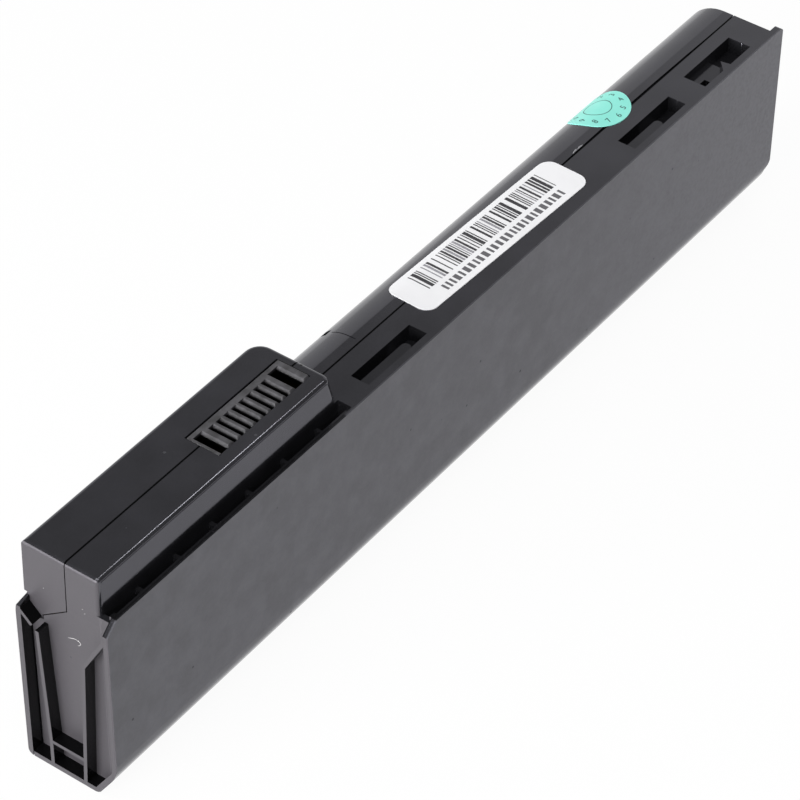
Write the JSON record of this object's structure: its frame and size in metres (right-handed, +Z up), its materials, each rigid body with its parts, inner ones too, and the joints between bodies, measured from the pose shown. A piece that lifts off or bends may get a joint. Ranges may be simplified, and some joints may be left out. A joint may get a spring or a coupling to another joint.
{
  "type": "laptop battery",
  "caption": "Black moulded laptop battery pack in two shells, with a raised blade-connector block, hook slots along its top and ribbed pockets at one end.",
  "frame": {"origin": "middle of the underside, at the centre of the pack's box", "axes": "+X along the pack from the connector end to the far end, +Y from the front plate to the back, +Z up to the connector"},
  "size_m": [0.205, 0.0204, 0.049],
  "materials": {
    "case_black": "fine matte moulded texture",
    "insert_grey": "smooth moulded plastic",
    "contact_gold": "gold-plated spring bronze",
    "board_green": "solder-masked glass board",
    "chip_black": "moulded epoxy",
    "ceramic_tan": "fired ceramic",
    "cell_sleeve": "shrunk plastic sleeve",
    "nickel": "rolled nickel strip",
    "lead_red": "silicone-covered wire",
    "lead_white": "silicone-covered wire",
    "paper_tan": "pressed insulating paper",
    "foam_grey": "closed-cell foam",
    "label_white": "coated paper",
    "sticker_turquoise": "coated paper"
  },
  "bodies": {
    "root": {"front_case": "case_black", "back_cover": "case_black", "connector_housing": "insert_grey", "power_contacts": "contact_gold", "signal_contacts": "contact_gold", "circuit_board": "board_green", "gauge_chip": "chip_black", "protection_chip": "chip_black", "charge_switch": "chip_black", "discharge_switch": "chip_black", "fuse": "ceramic_tan", "sense_resistor": "ceramic_tan", "board_passives": "ceramic_tan", "thermistor": "chip_black", "insulating_rings": "paper_tan", "strap_negative": "nickel", "strap_low": "nickel", "strap_high": "nickel", "strap_positive": "nickel", "positive_lead": "lead_red", "sense_lead_low": "lead_white", "sense_lead_high": "lead_white", "end_insulator_near": "paper_tan", "end_insulator_far": "paper_tan", "board_pad": "foam_grey", "barcode_label": "label_white", "date_sticker": "sticker_turquoise", "cell_1": "cell_sleeve", "cell_2": "cell_sleeve", "cell_3": "cell_sleeve", "cell_4": "cell_sleeve", "cell_5": "cell_sleeve", "cell_6": "cell_sleeve"}
  },
  "joints": []
}
